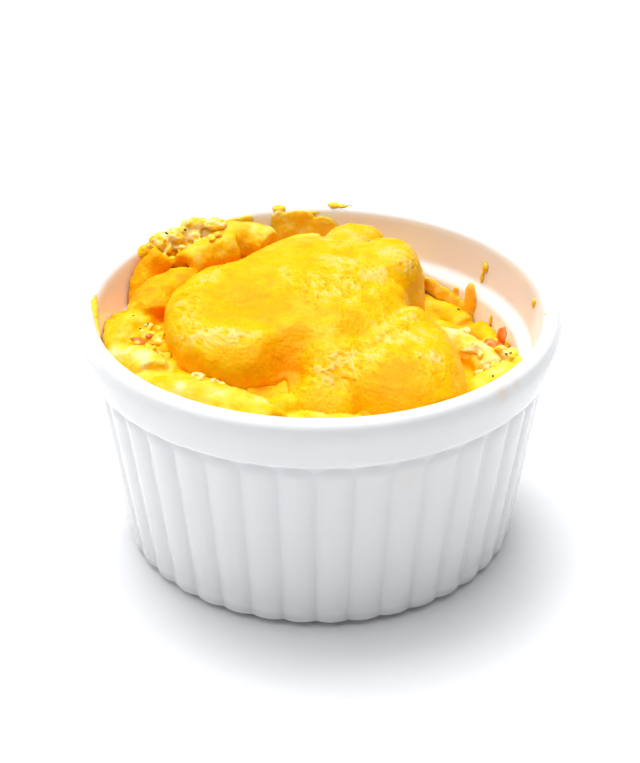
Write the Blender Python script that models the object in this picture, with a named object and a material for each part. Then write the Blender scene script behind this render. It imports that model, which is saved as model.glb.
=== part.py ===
"""Macaroni cheese in a small white fluted oven dish.

It has three pieces: the porcelain dish, the heap of macaroni that fills it and the melted cheese on top.
The origin is under the middle of the dish, on the surface that it stands on. +Z is up and the front is at -Y.
"""

import math

import bmesh
import bpy
from mathutils import Euler, Matrix, Vector

MM = 0.001
GAP = 0.3 * MM  # clear space between pieces that touch in the real dish
WALL_CLEARANCE = 0.5 * MM  # the same to the round wall, whose flat faces stand in a little

# The dish: a 90 mm ramekin with a plain band under its lip. It stands on a low foot ring, so that the lower
# edge of its fluting is clear of the table. All heights are measured from this edge, and every solid is lifted
# by the foot's height when it is added.
FOOT_HEIGHT = 1.4 * MM
DISH_HEIGHT = 46.1 * MM  # so it is 47.5 mm high on its foot
RIM_RADIUS = 45.0 * MM
MOUTH_RADIUS = 41.2 * MM  # inside of the lip, below its rounding
BAND_FOOT = 37.3 * MM  # height of the band's lower edge
BAND_FOOT_RADIUS = 43.6 * MM
WALL_TOP_RADIUS = 42.7 * MM  # outside of the ribs, just under the band
WALL_FOOT_RADIUS = 37.9 * MM
EDGE_ROUNDING = 0.45 * MM  # of the fluting's lower edge
EDGE_INSET = 0.35 * MM
FLAT_OUTER_RADIUS = 35.2 * MM  # the flat face of the foot ring
FLAT_INNER_RADIUS = 31.0 * MM
FOOT_FLARE = 0.4 * MM  # the foot is this much wider where it leaves the base
BASE_RECESS = 0.6 * MM  # the middle of the base stands this much higher than the fluting's edge
FLOOR = 4.2 * MM
FLOOR_CORNER = 5.5 * MM
FLOOR_CORNER_TURNS = (0.0, 45.0, 90.0)  # degrees round the corner at which it has a ring of points
INNER_FOOT_RADIUS = 35.3 * MM
LEDGE_FOOT = 35.0 * MM  # inside, level with the band, the wall steps out over a soft ledge
LEDGE_FOOT_RADIUS = 37.6 * MM
LEDGE_TOP = 38.6 * MM
LEDGE_TOP_RADIUS = 39.9 * MM
LEDGE_STEPS = 3
LIP_ROUNDING = 1.6 * MM  # height of the lip's inner rounding
BAND_PROFILE = (  # radius and height, from under the band's edge, up its side and over the lip
    (BAND_FOOT_RADIUS - 0.5 * MM, BAND_FOOT - 0.6 * MM),
    (BAND_FOOT_RADIUS, BAND_FOOT),
    (44.5 * MM, 40.3 * MM),
    (RIM_RADIUS, 43.6 * MM),
    (44.7 * MM, 45.0 * MM),
    (43.9 * MM, 45.9 * MM),
    (42.9 * MM, DISH_HEIGHT),
    (42.1 * MM, 45.9 * MM),
    (41.5 * MM, 45.3 * MM),
    (MOUTH_RADIUS, DISH_HEIGHT - LIP_ROUNDING),
)

# The fluting: rounded ribs with narrow grooves between them.
RIBS = 40
GROOVE_DEPTH = 0.65 * MM
FIRST_GROOVE = math.radians(-1.0)  # the groove nearest the front stands this far round from it
RIB_STEPS = (0.0, 0.26, 0.5, 0.74)  # groove, side, crown, side, as shares of one rib
ARCH_FOOT = 33.2 * MM  # each rib rounds off at the top in a small arch, from here to its top
ARCH_SIDE = 35.2 * MM
ARCH_TOP = 36.0 * MM
SMOOTH_STEPS = 2 * RIBS  # points round a plain ring
BASE_STEPS = 60  # and round the rings where less shows
SHARP_EDGE = math.radians(40.0)  # edges that bend more than this are shaded sharp

# The heap's own level: it leans down to the right, with a hollow at the back right and a mound in the middle.
HEAP_LEVEL = 36.2 * MM
HEAP_LEAN_X = -0.10
HEAP_LEAN_Y = -0.06
MOUND = (-2.0 * MM, -2.0 * MM, 24.0 * MM, 8.4 * MM)  # x, y, spread, height
HOLLOW = (30.0 * MM, 14.0 * MM, 16.0 * MM, -4.4 * MM)
HEAP_SPOKES = 48
HEAP_RINGS = 6
HEAP_WALL_SHARES = (0.6, 0.7, 0.8, 0.9)  # of the way up the wall, where the heap follows the ledge
SETTLING_ROUNDS = 6

# The melted cheese is a few domes that run together.
# Each is x, y, half width, half length, turn in degrees, height of its top, and fullness: more is flatter.
CHEESE_MIDDLE = (-2.0 * MM, -4.0 * MM)
CHEESE_DOMES = (
    (-12.5 * MM, -6.0 * MM, 14.8 * MM, 21.5 * MM, 0.0, 49.2 * MM, 3.4),  # the broad slab on the left
    (0.0, 4.5 * MM, 17.5 * MM, 23.5 * MM, 0.0, 50.6 * MM, 3.0),  # the wrinkled middle
    (7.2 * MM, 25.0 * MM, 8.4 * MM, 7.0 * MM, 0.0, 49.4 * MM, 2.4),  # the small dome at the back
    (13.2 * MM, 13.0 * MM, 7.4 * MM, 10.5 * MM, 0.0, 50.6 * MM, 3.2),  # the steep dome at the back right
    (13.5 * MM, -17.5 * MM, 12.3 * MM, 19.0 * MM, 10.0, 47.4 * MM, 3.0),  # the large dome at the front right
    (1.8 * MM, -17.5 * MM, 6.6 * MM, 10.0 * MM, 0.0, 48.0 * MM, 1.9),  # the slope down in front of the middle
    (1.5 * MM, -24.0 * MM, 7.0 * MM, 10.5 * MM, 0.0, 44.8 * MM, 1.7),  # the wrinkled bump at the front
)
# Low dents and swellings in its top.
# Each is x, y, half width, half length, turn in degrees, and height, which is below 0 for a dent.
CHEESE_DENTS = (
    (-11.5 * MM, -7.0 * MM, 7.0 * MM, 8.5 * MM, 0.0, -0.9 * MM),  # the dished middle of the slab
    (-21.5 * MM, -8.0 * MM, 3.5 * MM, 12.0 * MM, 8.0, 0.5 * MM),  # its swollen left rim
    (-13.0 * MM, -20.0 * MM, 9.0 * MM, 3.5 * MM, -12.0, 0.7 * MM),  # and its swollen front
    (-2.5 * MM, -2.0 * MM, 2.6 * MM, 10.0 * MM, -6.0, 0.7 * MM),  # the step up beside it
    (-6.0 * MM, -23.5 * MM, 2.8 * MM, 4.2 * MM, 0.0, -4.5 * MM),  # the deep valley at the front
    (5.5 * MM, -13.5 * MM, 7.0 * MM, 4.0 * MM, 25.0, 0.5 * MM),  # the sheet runs down smoothly past the middle
    (19.0 * MM, -4.0 * MM, 3.6 * MM, 3.4 * MM, 0.0, 1.3 * MM),  # the peak at the back of the right lobe
    (10.0 * MM, -19.5 * MM, 1.6 * MM, 5.5 * MM, -50.0, -0.8 * MM),  # the fold across the lobe
    (17.0 * MM, -23.0 * MM, 5.0 * MM, 4.0 * MM, 0.0, 0.6 * MM),
)
CHEESE_BLEND = 2.4 * MM  # how softly one dome runs into the next
CHEESE_EDGE = 1.0 * MM  # the cheese's edge stands this far above the heap, and is sunk as far into it
REACH_STEP = 0.1 * MM  # the edge of the cheese is looked for in steps of this
CHEESE_SPOKES = 64
CHEESE_RINGS = (0.2, 0.4, 0.56, 0.7, 0.8, 0.88, 0.94, 0.98, 1.0)
CHEESE_UNDER_RINGS = (0.92, 0.66, 0.34)

# Elbow macaroni that stands out of the heap, coated in sauce.
# Each is x, y, z of its middle in millimetres, its turns about X, Y and Z in degrees, the radius of its bend,
# the bend in degrees, and the radius of the tube.
ELBOWS = (
    (-17.5, -31.0, 41.0, 0, 0, -27, 27.0, 52, 4.3),  # lies along the rim at the front left
    (-35.8, -1.5, 42.4, 50, 0, 66, 6.4, 165, 3.4),  # arches up beside the wall on the left
    (-31.8, -15.5, 41.6, 10, -12, -52, 12.0, 60, 3.6),
    (-30.4, 11.0, 42.0, 15, 0, 68, 9.0, 105, 5.0),  # the fat knee at the back left
    (-35.8, 15.5, 41.2, 0, 0, 65, 36.0, 36, 3.0),
    (-31.5, 25.0, 43.6, 0, 16, 40, 10.0, 60, 3.2),
    (-26.5, 29.5, 44.2, 20, -14, 20, 9.0, 70, 3.0),
    (-21.0, 24.5, 43.6, 0, 0, 20, 14.0, 45, 3.2),
    (-15.0, 30.5, 43.4, 30, 0, -8, 11.0, 60, 3.8),
    (-26.0, -22.0, 39.6, 20, 10, 15, 12.0, 60, 3.6),
    (-28.5, -6.0, 39.4, 25, 8, 80, 12.0, 70, 3.4),
    (-2.0, -34.5, 38.6, 15, 0, 8, 18.0, 50, 3.6),
    (26.5, -1.0, 35.2, 10, 14, -24, 13.0, 65, 4.0),
    (33.6, -6.0, 32.8, 30, 0, 70, 9.0, 80, 3.2),
    (29.5, -17.0, 35.6, 15, -8, 48, 14.0, 60, 3.6),
    (26.5, -24.5, 37.0, -20, 5, 30, 10.0, 60, 3.2),
    (32.8, 9.0, 28.8, 0, 0, 105, 20.0, 45, 3.5),
    (25.0, 14.0, 29.8, 25, 0, 150, 11.0, 80, 3.5),
    (24.0, 26.0, 28.8, 0, 0, -38, 22.0, 45, 3.5),
    (13.5, 31.0, 34.0, 20, 12, 160, 12.0, 70, 3.7),
    (3.0, 35.0, 35.2, 0, 0, -4, 26.0, 42, 3.6),
    (-7.0, 31.5, 39.4, 15, -10, 30, 12.0, 70, 3.7),
)
ELBOW_STEPS = 8
ELBOW_SIDES = 14
ELBOW_END_LENGTH = 0.45  # an elbow's end rounds off over this share of its radius
ELBOW_END_SHARE = 0.55  # and down to this share of it
HEAP_GRAIN = 0.8 * MM  # the elbows and the sauce run together at this grain
HEAP_SHARE_KEPT = 0.044  # of the faces that this leaves, the share that the solid keeps


def clear_scene():
    """Remove whatever the file opened with."""
    for obj in list(bpy.data.objects):
        bpy.data.objects.remove(obj)


def add_object(name, bm, material):
    """Lift a bmesh onto the foot and turn it into a named, smooth-shaded object with outward faces."""
    bmesh.ops.translate(bm, verts=bm.verts, vec=(0.0, 0.0, FOOT_HEIGHT))
    bmesh.ops.recalc_face_normals(bm, faces=bm.faces)
    mesh = bpy.data.meshes.new(name)
    bm.to_mesh(mesh)
    bm.free()
    mesh.materials.append(material)
    mesh.shade_smooth()
    mesh.set_sharp_from_angle(angle=SHARP_EDGE)
    obj = bpy.data.objects.new(name, mesh)
    bpy.context.scene.collection.objects.link(obj)
    return obj


def finish(name, colour, roughness, coat=0.0):
    """A Principled material of one colour."""
    material = bpy.data.materials.new(name)
    material.use_nodes = True
    shader = material.node_tree.nodes["Principled BSDF"]
    shader.inputs["Base Color"].default_value = (*colour, 1.0)
    shader.inputs["Roughness"].default_value = roughness
    shader.inputs["Metallic"].default_value = 0.0
    shader.inputs["Coat Weight"].default_value = coat
    return material


def add_loop(bm, points):
    """A closed loop of new vertices."""
    return [bm.verts.new(point) for point in points]


def plain_ring(radius, height, steps, turn=0.0):
    """Points round a level circle about the Z axis."""
    angles = (turn + math.tau * i / steps for i in range(steps))
    return [Vector((radius * math.cos(a), radius * math.sin(a), height)) for a in angles]


def stitch(bm, lower, upper):
    """Join two loops, whose counts may differ, with triangles. Both start at the same angle."""
    i = 0
    j = 0
    while i < len(lower) or j < len(upper):
        step_lower = j == len(upper) or (i < len(lower) and (i + 1) * len(upper) <= (j + 1) * len(lower))
        a = lower[i % len(lower)]
        b = upper[j % len(upper)]
        if step_lower:
            i += 1
            bm.faces.new((a, lower[i % len(lower)], b))
        else:
            j += 1
            bm.faces.new((a, upper[j % len(upper)], b))


def fan(bm, loop, centre):
    """Close a loop with triangles to one new vertex."""
    tip = bm.verts.new(centre)
    for i, vert in enumerate(loop):
        bm.faces.new((vert, loop[(i + 1) % len(loop)], tip))


def close_loops(bm, loops, first_centre, last_centre):
    """A closed skin through a row of loops, with a fan at each end."""
    fan(bm, loops[0], first_centre)
    for lower, upper in zip(loops, loops[1:]):
        stitch(bm, lower, upper)
    fan(bm, loops[-1], last_centre)


# The dish.


def wall_radius(height):
    """Outside radius of the fluted wall at the crowns of its ribs."""
    share = (height - EDGE_ROUNDING) / (ARCH_TOP - EDGE_ROUNDING)
    return WALL_FOOT_RADIUS + share * (WALL_TOP_RADIUS - WALL_FOOT_RADIUS)


def between(height, foot, foot_radius, top, top_radius, soft=False):
    """Radius at one height between a foot and a top, on a straight line or on a soft S."""
    share = min(1.0, (height - foot) / (top - foot))
    if soft:
        share = share * share * (3.0 - 2.0 * share)
    return foot_radius + share * (top_radius - foot_radius)


def inner_radius(height):
    """Inside radius of the dish, from the corner of its floor up over the ledge to its lip."""
    if height < LEDGE_FOOT:
        return between(height, FLOOR + FLOOR_CORNER, INNER_FOOT_RADIUS, LEDGE_FOOT, LEDGE_FOOT_RADIUS)
    if height < LEDGE_TOP:
        return between(height, LEDGE_FOOT, LEDGE_FOOT_RADIUS, LEDGE_TOP, LEDGE_TOP_RADIUS, soft=True)
    return between(height, LEDGE_TOP, LEDGE_TOP_RADIUS, DISH_HEIGHT - LIP_ROUNDING, MOUTH_RADIUS)


def corner_point(degrees):
    """Radius and height in the rounded corner of the floor: 0 degrees is on the wall and 90 on the floor."""
    turn = math.radians(degrees)
    radius = INNER_FOOT_RADIUS - FLOOR_CORNER * (1.0 - math.cos(turn))
    return radius, FLOOR + FLOOR_CORNER * (1.0 - math.sin(turn))


def ribbed_ring(radius, height):
    """A ring through the ribs' crowns and grooves. In the arch each rib rounds off to the grooves' depth."""
    arch = max(0.0, (height - ARCH_FOOT) / (ARCH_TOP - ARCH_FOOT))
    points = []
    for rib in range(RIBS):
        for step in RIB_STEPS:
            angle = -math.pi / 2 + FIRST_GROOVE + math.tau * (rib + step) / RIBS
            across = abs(2.0 * step - 1.0)  # 0 on the crown, 1 in the groove
            r = radius - GROOVE_DEPTH * min(1.0, across**2 + arch**2)
            points.append(Vector((r * math.cos(angle), r * math.sin(angle), height)))
    return points


def dish_loops():
    """Every ring of the dish, from its recessed base up the outside, over the lip and down to the floor."""
    start = -math.pi / 2 + FIRST_GROOVE
    rings = [
        plain_ring(FLAT_INNER_RADIUS - FOOT_FLARE, BASE_RECESS, BASE_STEPS, start),
        plain_ring(FLAT_INNER_RADIUS, -FOOT_HEIGHT, BASE_STEPS, start),
        plain_ring(FLAT_OUTER_RADIUS, -FOOT_HEIGHT, BASE_STEPS, start),
        plain_ring(FLAT_OUTER_RADIUS + FOOT_FLARE, 0.0, BASE_STEPS, start),
        ribbed_ring(WALL_FOOT_RADIUS - EDGE_INSET, 0.0),
        ribbed_ring(WALL_FOOT_RADIUS, EDGE_ROUNDING),
        ribbed_ring(wall_radius(ARCH_FOOT), ARCH_FOOT),
        ribbed_ring(wall_radius(ARCH_SIDE), ARCH_SIDE),
        plain_ring(WALL_TOP_RADIUS - GROOVE_DEPTH, ARCH_TOP, SMOOTH_STEPS, start),
    ]
    rings += [plain_ring(radius, height, SMOOTH_STEPS, start) for radius, height in BAND_PROFILE]
    for step in range(LEDGE_STEPS, -1, -1):
        height = LEDGE_FOOT + (LEDGE_TOP - LEDGE_FOOT) * step / LEDGE_STEPS
        rings.append(plain_ring(inner_radius(height), height, BASE_STEPS, start))
    for degrees in FLOOR_CORNER_TURNS:
        rings.append(plain_ring(*corner_point(degrees), BASE_STEPS, start))
    return rings


def make_dish():
    """The porcelain dish."""
    bm = bmesh.new()
    loops = [add_loop(bm, ring) for ring in dish_loops()]
    close_loops(bm, loops, (0.0, 0.0, BASE_RECESS), (0.0, 0.0, FLOOR))
    return add_object("ramekin", bm, finish("white_porcelain", (0.86, 0.87, 0.88), 0.12, 0.3))


# The heap of macaroni.


def swell(x, y, shape):
    """One round swelling of the heap's level."""
    middle_x, middle_y, spread, height = shape
    distance_squared = (x - middle_x) ** 2 + (y - middle_y) ** 2
    return height * math.exp(-distance_squared / spread**2)


def heap_level(x, y):
    """Height of the packed macaroni and sauce between the elbows that stand out."""
    lean = HEAP_LEAN_X * x + HEAP_LEAN_Y * y
    return HEAP_LEVEL + lean + swell(x, y, MOUND) + swell(x, y, HOLLOW)


def wall_point(angle):
    """Radius and height at which the heap's top meets the dish wall in one direction, settled in turns."""
    radius = MOUTH_RADIUS
    for _ in range(SETTLING_ROUNDS):
        level = heap_level(radius * math.cos(angle), radius * math.sin(angle))
        radius = inner_radius(level) - WALL_CLEARANCE
    return radius, level


def press_in(point):
    """Move a point inwards where it would pass through the dish wall, as soft pasta is pressed flat there."""
    reach = math.hypot(point.x, point.y)
    limit = inner_radius(point.z) - WALL_CLEARANCE
    share = min(1.0, limit / reach)
    return Vector((point.x * share, point.y * share, point.z))


def heap_loops():
    """Rings of the heap's body: the floor's rounded corner, the wall, and the top from the wall inwards."""
    angles = [math.tau * i / HEAP_SPOKES for i in range(HEAP_SPOKES)]
    loops = []
    for degrees in (90.0, 45.0, 0.0):
        radius, height = corner_point(degrees)
        loops.append(plain_ring(radius - WALL_CLEARANCE, height + GAP, HEAP_SPOKES))
    for share in HEAP_WALL_SHARES:
        points = []
        for angle in angles:
            height = FLOOR + FLOOR_CORNER + share * (wall_point(angle)[1] - FLOOR - FLOOR_CORNER)
            radius = inner_radius(height) - WALL_CLEARANCE
            points.append(Vector((radius * math.cos(angle), radius * math.sin(angle), height)))
        loops.append(points)
    for ring in range(HEAP_RINGS, 0, -1):
        points = []
        for angle in angles:
            reach, level = wall_point(angle)
            x = reach * ring / HEAP_RINGS * math.cos(angle)
            y = reach * ring / HEAP_RINGS * math.sin(angle)
            points.append(Vector((x, y, level if ring == HEAP_RINGS else heap_level(x, y))))
        loops.append(points)
    return loops


def add_elbow(bm, place):
    """One curved tube of macaroni with rounded ends."""
    x, y, z, turn_x, turn_y, turn_z, bend_radius, bend, tube = place
    turns = Euler([math.radians(turn) for turn in (turn_x, turn_y, turn_z)])
    to_heap = Matrix.Translation(Vector((x, y, z)) * MM) @ turns.to_matrix().to_4x4()
    half = math.radians(bend) / 2.0
    round_off = ELBOW_END_LENGTH * tube / bend_radius
    stations = [(-half - round_off, ELBOW_END_SHARE)]
    stations += [(half * (2.0 * i / ELBOW_STEPS - 1.0), 1.0) for i in range(ELBOW_STEPS + 1)]
    stations += [(half + round_off, ELBOW_END_SHARE)]
    loops = []
    for angle, share in stations:
        along = Vector((math.sin(angle), math.cos(angle) - 1.0, 0.0)) * bend_radius
        outward = Vector((math.sin(angle), math.cos(angle), 0.0))
        points = []
        for i in range(ELBOW_SIDES):
            side = math.tau * i / ELBOW_SIDES
            off = outward * math.cos(side) + Vector((0.0, 0.0, math.sin(side)))
            point = to_heap @ ((along + off * tube * share) * MM)
            points.append(press_in(point))
        loops.append(add_loop(bm, points))
    ends = [sum((vert.co for vert in loop), Vector()) / len(loop) for loop in (loops[0], loops[-1])]
    close_loops(bm, loops, *ends)


def make_heap():
    """The heap: its body and the elbows that stand out, run together and cut where the cheese sinks in."""
    bm = bmesh.new()
    loops = [add_loop(bm, points) for points in heap_loops()]
    close_loops(bm, loops, (0.0, 0.0, FLOOR + GAP), (0.0, 0.0, heap_level(0.0, 0.0)))
    for place in ELBOWS:
        add_elbow(bm, place)
    heap = add_object("macaroni_heap", bm, finish("macaroni_in_sauce", (0.93, 0.55, 0.04), 0.35))
    run_together = heap.modifiers.new("run_together", "REMESH")
    run_together.mode = "VOXEL"
    run_together.voxel_size = HEAP_GRAIN
    run_together.use_smooth_shade = True
    soften = heap.modifiers.new("soften", "SMOOTH")
    soften.factor = 0.5
    soften.iterations = 2
    lighten = heap.modifiers.new("lighten", "DECIMATE")
    lighten.ratio = HEAP_SHARE_KEPT
    bed = make_cheese("cheese_bed", GAP)
    bed.hide_render = True
    bed.display_type = "WIRE"
    cut = heap.modifiers.new("cut_cheese_bed", "BOOLEAN")
    cut.operation = "DIFFERENCE"
    cut.object = bed
    return heap


# The melted cheese.


def share_out(x, y, shape, margin):
    """How far out a point is in one dome or dent, from 0 in its middle to 1 at its edge."""
    middle_x, middle_y, half_width, half_length, turn = shape[:5]
    angle = math.radians(turn)
    across = (x - middle_x) * math.cos(angle) + (y - middle_y) * math.sin(angle)
    along = (y - middle_y) * math.cos(angle) - (x - middle_x) * math.sin(angle)
    return math.hypot(across / (half_width + margin), along / (half_length + margin))


def cheese_top(x, y, margin):
    """Height of the melted cheese: its domes over the heap, run together softly, with its dents."""
    edge = heap_level(x, y) + CHEESE_EDGE
    height = edge
    for dome in CHEESE_DOMES:
        share = share_out(x, y, dome, margin)
        if share >= 1.0:
            continue
        top, fullness = dome[5:]
        rise = edge + (top - edge) * (1.0 - share**fullness) ** (1.0 / fullness)
        overlap = max(CHEESE_BLEND - abs(height - rise), 0.0) / CHEESE_BLEND
        height = max(height, rise) + CHEESE_BLEND * overlap**2 / 4.0
    for dent in CHEESE_DENTS:
        height += dent[5] * math.exp(-(share_out(x, y, dent, 0.0) ** 2))
    return max(height, edge) + margin


def cheese_reach(angle, margin):
    """How far the cheese reaches from its middle in one direction: to its last dome, or to the dish wall."""
    reach = RIM_RADIUS
    while reach > REACH_STEP:
        x = CHEESE_MIDDLE[0] + reach * math.cos(angle)
        y = CHEESE_MIDDLE[1] + reach * math.sin(angle)
        in_dish = math.hypot(x, y) < inner_radius(heap_level(x, y)) - WALL_CLEARANCE - GAP + margin
        if in_dish and any(share_out(x, y, dome, margin) < 1.0 for dome in CHEESE_DOMES):
            return reach
        reach -= REACH_STEP
    return REACH_STEP


def make_cheese(name, margin=0.0):
    """The melted cheese, or with a margin the slightly larger body that cuts its bed into the heap."""
    spokes = [math.tau * i / CHEESE_SPOKES for i in range(CHEESE_SPOKES)]
    reaches = [cheese_reach(angle, margin) for angle in spokes]
    bm = bmesh.new()

    def loop(share, height):
        points = []
        for angle, reach in zip(spokes, reaches):
            x = CHEESE_MIDDLE[0] + share * reach * math.cos(angle)
            y = CHEESE_MIDDLE[1] + share * reach * math.sin(angle)
            points.append(Vector((x, y, height(x, y))))
        return add_loop(bm, points)

    def top(x, y):
        return cheese_top(x, y, margin)

    def under(x, y):
        return heap_level(x, y) - CHEESE_EDGE - margin

    loops = [loop(share, top) for share in CHEESE_RINGS]
    loops.append(loop(1.0, under))
    loops += [loop(share, under) for share in CHEESE_UNDER_RINGS]
    x, y = CHEESE_MIDDLE
    close_loops(bm, loops, (x, y, top(x, y)), (x, y, under(x, y)))
    return add_object(name, bm, finish(name, (0.96, 0.62, 0.03), 0.25, 0.4))


clear_scene()
make_dish()
make_heap()
make_cheese("melted_cheese")
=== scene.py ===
# %% [markdown]
# # Macaroni cheese in a ramekin
#
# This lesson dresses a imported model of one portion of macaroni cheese: a small white fluted dish, a heap of
# elbow macaroni in cheese sauce, and a thick sheet of cheese that melted over the middle of it. The packed
# model is the frame: it says where the dish and the food are, and nothing here moves or resizes them.

# %% Load the frame
import math
import random

import bmesh
import bpy
import numpy as np
from mathutils import Euler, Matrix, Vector, noise
from mathutils.bvhtree import BVHTree
from mathutils.kdtree import KDTree


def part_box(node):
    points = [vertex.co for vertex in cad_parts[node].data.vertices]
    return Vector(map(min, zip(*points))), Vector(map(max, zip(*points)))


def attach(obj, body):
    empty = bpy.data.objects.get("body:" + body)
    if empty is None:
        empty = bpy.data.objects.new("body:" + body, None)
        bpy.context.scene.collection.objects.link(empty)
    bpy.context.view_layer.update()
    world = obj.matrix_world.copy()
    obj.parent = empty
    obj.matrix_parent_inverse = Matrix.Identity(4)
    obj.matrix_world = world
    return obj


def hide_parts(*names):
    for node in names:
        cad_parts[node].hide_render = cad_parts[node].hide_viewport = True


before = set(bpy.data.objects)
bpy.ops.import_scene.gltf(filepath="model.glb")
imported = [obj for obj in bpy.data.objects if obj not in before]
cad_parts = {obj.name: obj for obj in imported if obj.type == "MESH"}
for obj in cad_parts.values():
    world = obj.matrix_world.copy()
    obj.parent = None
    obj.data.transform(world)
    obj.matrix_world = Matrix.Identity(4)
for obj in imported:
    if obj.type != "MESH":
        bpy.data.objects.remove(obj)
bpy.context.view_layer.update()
print("The frame's nodes:", sorted(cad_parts))

# %% [markdown]
# ## Units, colours and nodes
#
# Blender works in metres, and food is easier to think of in millimetres, so sizes are written as so many
# MM. Colours are the hex values that a paint program shows, and one function turns them into the linear
# light that the shader needs. Another adds a shader node with its settings and inputs in one call, and a
# few short ones build the nodes that come back most. A pattern takes the real size of its lumps, because
# the shader's own scale counts lumps to a metre.

# %% Units, colours and nodes
MM = 0.001
UP = np.array([0.0, 0.0, 1.0])


def linear(hex_colour):
    """An sRGB colour such as "FFC81E" as linear red, green, blue and alpha."""
    channels = [int(hex_colour[i : i + 2], 16) / 255.0 for i in (0, 2, 4)]
    return [c / 12.92 if c <= 0.04045 else ((c + 0.055) / 1.055) ** 2.4 for c in channels] + [1.0]


def new_object(name, data):
    """An object in the scene."""
    made = bpy.data.objects.new(name, data)
    bpy.context.scene.collection.objects.link(made)
    return made


def set_inputs(material, node, inputs):
    """Give each input, by its name or number, a value or the output that feeds it."""
    for key, value in inputs.items():
        if isinstance(value, bpy.types.NodeSocket):
            material.node_tree.links.new(value, node.inputs[key])
        else:
            node.inputs[key].default_value = value


def add_node(material, kind, inputs=None, **settings):
    """Add a node with its settings and inputs."""
    node = material.node_tree.nodes.new(kind)
    for name, value in settings.items():
        setattr(node, name, value)
    set_inputs(material, node, inputs or {})
    return node


def new_material(name):
    """A material and its shader."""
    material = bpy.data.materials.new(name)
    material.use_nodes = True
    return material, material.node_tree.nodes["Principled BSDF"]


def surface_place(material):
    """The place on the surface, in metres."""
    return add_node(material, "ShaderNodeTexCoord").outputs["Object"]


def pattern(material, size, detail):
    """Cloudy noise of 0 to 1, with lumps about `size` across."""
    inputs = {"Vector": surface_place(material), "Scale": 1.0 / size, "Detail": detail}
    return add_node(material, "ShaderNodeTexNoise", inputs).outputs["Fac"]


def stored(material, name):
    """The number that the points keep under a name."""
    return add_node(material, "ShaderNodeAttribute", attribute_name=name).outputs["Fac"]


def arithmetic(material, kind, first, second, **settings):
    """A sum or a product."""
    node = add_node(material, "ShaderNodeMath", {0: first, 1: second}, operation=kind, **settings)
    return node.outputs[0]


def change_range(material, value, old, new):
    """A value stretched from one range to another."""
    inputs = {"Value": value, "From Min": old[0], "From Max": old[1], "To Min": new[0], "To Max": new[1]}
    return add_node(material, "ShaderNodeMapRange", inputs).outputs[0]


# A colour mix has its two colours at inputs 6 and 7 and its result at output 2.
MIX_FIRST = 6
MIX_SECOND = 7
MIX_RESULT = 2


def mix_colours(material, share, first, second):
    """The first colour where the share is 0, and the second where it is 1."""
    inputs = {"Factor": share, MIX_FIRST: first, MIX_SECOND: second}
    return add_node(material, "ShaderNodeMix", inputs, data_type="RGBA").outputs[MIX_RESULT]


def colour_ramp(material, value, stops):
    """Colours along a value from 0 to 1, each stop a position and a hex colour."""
    ramp = add_node(material, "ShaderNodeValToRGB", {"Fac": value})
    elements = ramp.color_ramp.elements
    for position, colour in stops[1:-1]:
        elements.new(position)
    for element, (position, colour) in zip(elements, stops):
        element.position = position
        element.color = linear(colour)
    return ramp.outputs["Color"]


# %% [markdown]
# ## The camera
#
# The dish is seen from a little above, as someone about to eat sees it. The camera stands seven rim radii
# away, 30 degrees up, and a long lens keeps the dish's sides nearly straight.

# %% The camera
RIM_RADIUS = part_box("ramekin")[1].x
FOOT_HEIGHT = 1.4 * MM  # heights below are measured from the fluting's lower edge, which stands this far up
DISH_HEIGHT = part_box("ramekin")[1].z - FOOT_HEIGHT
CAMERA_ELEVATION = math.radians(30.12)
CAMERA_DISTANCE = 7.0 * RIM_RADIUS
CAMERA_DIRECTION = Vector((0.0, -math.cos(CAMERA_ELEVATION), math.sin(CAMERA_ELEVATION)))
LOOK_AT = Vector((0.0022, 0.0, 0.6316)) * RIM_RADIUS + Vector((0.0, 0.0, FOOT_HEIGHT))
SENSOR_WIDTH = 36.0  # both in millimetres
LENS = 77.7

camera_data = bpy.data.cameras.new("camera")
camera_data.sensor_width = SENSOR_WIDTH
camera_data.lens = LENS
camera = new_object("camera", camera_data)
camera.location = LOOK_AT + CAMERA_DISTANCE * CAMERA_DIRECTION
camera.rotation_euler = (math.pi / 2 - CAMERA_ELEVATION, 0.0, 0.0)
bpy.context.scene.camera = camera
bpy.context.scene.view_settings.view_transform = "Standard"
print(f"The dish is {2000 * RIM_RADIUS:.1f} mm wide and {1000 * DISH_HEIGHT:.1f} mm high above its foot")

# %% [markdown]
# ## Light and floor
#
# A white dish on white paper is lit by one large soft box, nearly overhead, under a bright white ceiling in
# a room with dim walls. So the lip and the paper go pure white, the dish's sides stay light grey, and the
# shadow is short and soft. The box stands to the back and a little to the left, so the shadow comes out at
# the front and a little to the right.

# %% Light and floor
KEY_DIRECTION = Vector((-0.08, 0.28, 1.0)).normalized()
KEY_DISTANCE = 2.0
KEY_SIZE = 1.25
KEY_POWER = 30.0
CEILING_DIRECTION = Vector((-0.16, 0.16, 0.96))
CEILING_EDGE = (0.46, 0.92)  # how far a direction agrees with it at the top of the walls and well inside
ROOM_STRENGTH = (0.03, 2.0)  # of the dim walls and of the ceiling
FLOOR_HALF = 3.0  # in metres

key_data = bpy.data.lights.new("soft_box", "AREA")
key_data.shape = "SQUARE"
key_data.size = KEY_SIZE
key_data.energy = KEY_POWER
key_light = new_object("soft_box", key_data)
key_light.location = KEY_DIRECTION * KEY_DISTANCE
key_light.rotation_euler = KEY_DIRECTION.to_track_quat("Z", "Y").to_euler()

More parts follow.
